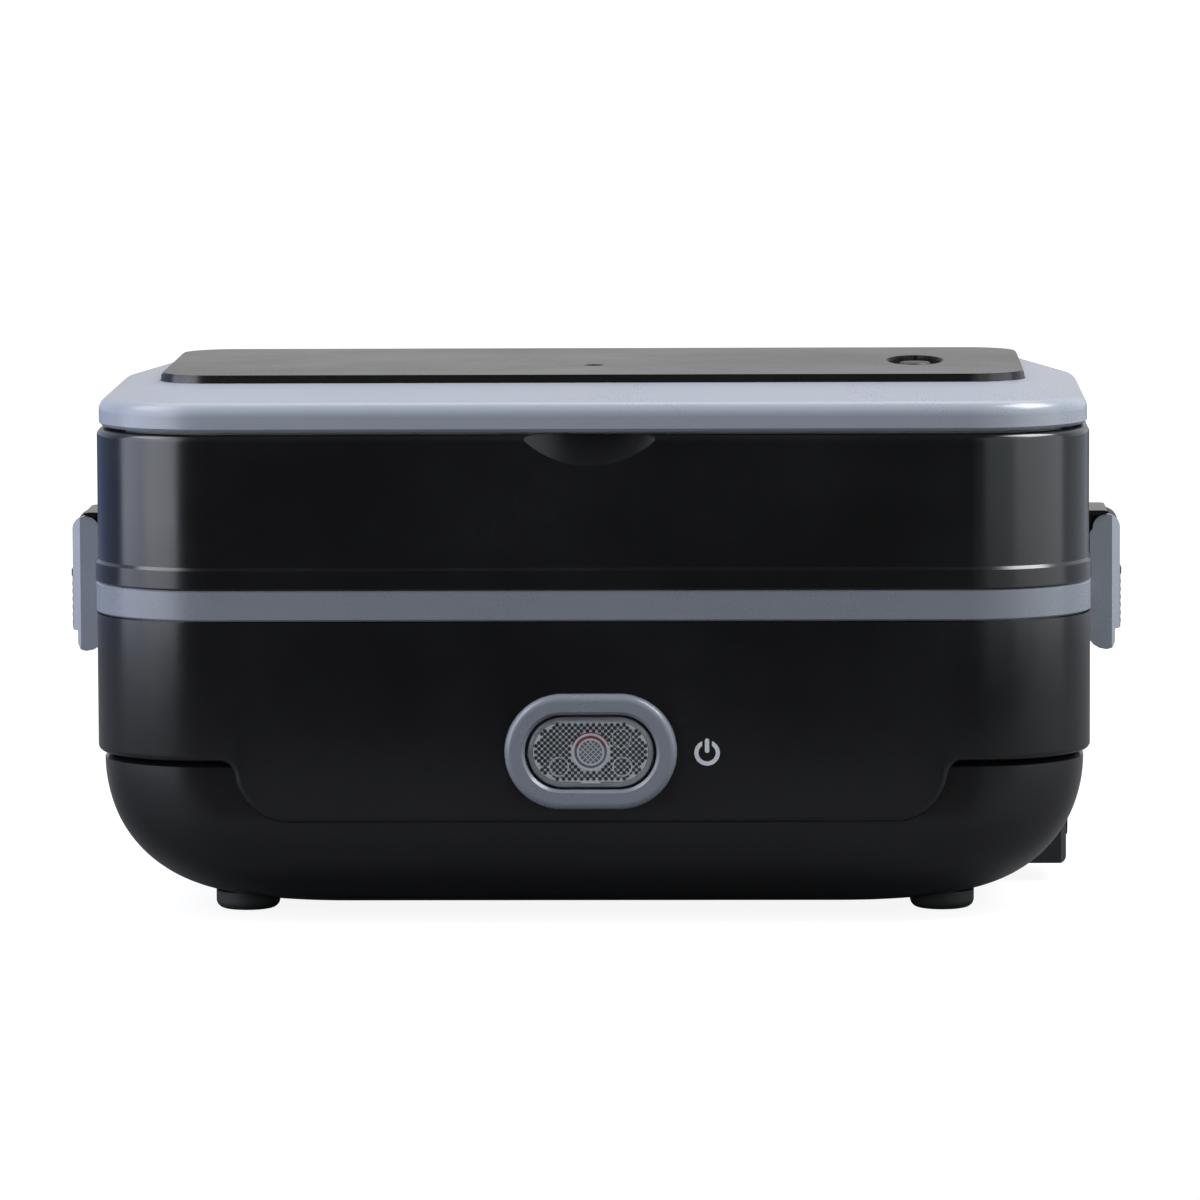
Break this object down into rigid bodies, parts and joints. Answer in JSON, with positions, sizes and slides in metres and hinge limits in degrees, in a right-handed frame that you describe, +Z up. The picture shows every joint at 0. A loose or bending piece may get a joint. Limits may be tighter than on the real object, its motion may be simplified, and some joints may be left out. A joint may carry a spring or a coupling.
{
  "type": "electric lunch box",
  "caption": "Black electric lunch box with blue-grey trim: heated base, upper food tier held by side latches, hinged lid with vent plug, lit power key.",
  "frame": {"origin": "under the middle of the body, on the plane that the feet stand on", "axes": "+Z up, the front with the power key faces -Y, +X to the right of someone facing the front"},
  "size_m": [0.2418, 0.122, 0.123],
  "materials": {
    "black_plastic": "satin moulded black",
    "black_panel": "satin-gloss black",
    "blue_grey": "satin-gloss blue-grey",
    "stainless": "brushed",
    "aluminium": "pressed",
    "clear_plastic": "clear, prismatic back",
    "frosted_plastic": "frosted",
    "white_plastic": "matt",
    "tray_plastic": "satin light grey",
    "silicone": "translucent white silicone",
    "black_silicone": "matt",
    "rubber": "matt",
    "grip_plastic": "matt, ribbed",
    "zinc_steel": "zinc-plated",
    "brass": "plain",
    "socket_plastic": "matt",
    "ceramic": "insulating film",
    "dark_phenolic": "matt",
    "red_plastic": "satin",
    "lamp_glass": "red-tinted",
    "brown_wire": "heat-proof sleeve",
    "blue_wire": "heat-proof sleeve",
    "resistor": "lacquered",
    "print": "pad print"
  },
  "bodies": {
    "base": {"base_shell": "black_plastic", "bottom_bowl": "black_plastic", "collar": "blue_grey", "tier_seal": "silicone", "heating_pan": "stainless", "ptc_heater": "ceramic", "heater_clamp": "aluminium", "clamp_nuts": "brass", "thermostat": "dark_phenolic", "thermal_fuse": "white_plastic", "lower_tray": "stainless", "lower_tray_lid": "frosted_plastic", "lower_tray_seal": "silicone", "upper_shell": "black_plastic", "upper_tray": "tray_plastic", "inlet_housing": "black_plastic", "inlet_socket": "socket_plastic", "inlet_pins": "brass", "button_bezel": "blue_grey", "key_spring": "zinc_steel", "switch_body": "dark_phenolic", "neon_lamp": "lamp_glass", "lamp_holder": "white_plastic", "lamp_resistor": "resistor", "power_mark": "print", "live_wire": "brown_wire", "neutral_wire": "blue_wire", "fuse_wire": "brown_wire", "base_screws": "zinc_steel", "feet": "rubber", "hinge_pins": "zinc_steel"},
    "lid": {"lid_frame": "blue_grey", "lid_panel": "black_panel", "lid_liner": "tray_plastic", "lid_seal": "silicone", "liner_screws": "zinc_steel"},
    "vent_plug": {"vent_plug": "black_silicone"},
    "latch_left": {"latch_lever_left": "blue_grey", "latch_grip_left": "grip_plastic", "latch_pin_left": "zinc_steel"},
    "latch_right": {"latch_lever_right": "blue_grey", "latch_grip_right": "grip_plastic", "latch_pin_right": "zinc_steel"},
    "power_key": {"power_key": "clear_plastic", "switch_plunger": "red_plastic"}
  },
  "joints": [
    {"name": "lid_hinge", "type": "hinge", "parent": "base", "child": "lid", "pos_m": [0, 0.0586, 0.1109], "axis": [-1, 0, 0], "range_deg": [0, 100]},
    {"name": "vent_plug_lift", "type": "slide", "parent": "lid", "child": "vent_plug", "axis": [0, 0, 1], "range_m": [0, 0.004]},
    {"name": "latch_left_swing", "type": "hinge", "parent": "base", "child": "latch_left", "pos_m": [-0.1174, 0, 0.085], "axis": [0, 1, 0], "range_deg": [0, 45]},
    {"name": "latch_right_swing", "type": "hinge", "parent": "base", "child": "latch_right", "pos_m": [0.1174, 0, 0.085], "axis": [0, -1, 0], "range_deg": [0, 45]},
    {"name": "power_key_press", "type": "slide", "parent": "base", "child": "power_key", "axis": [0, 1, 0], "range_m": [0, 0.0015], "stiffness_N_per_m": 500, "deforming": ["key_spring"]}
  ]
}
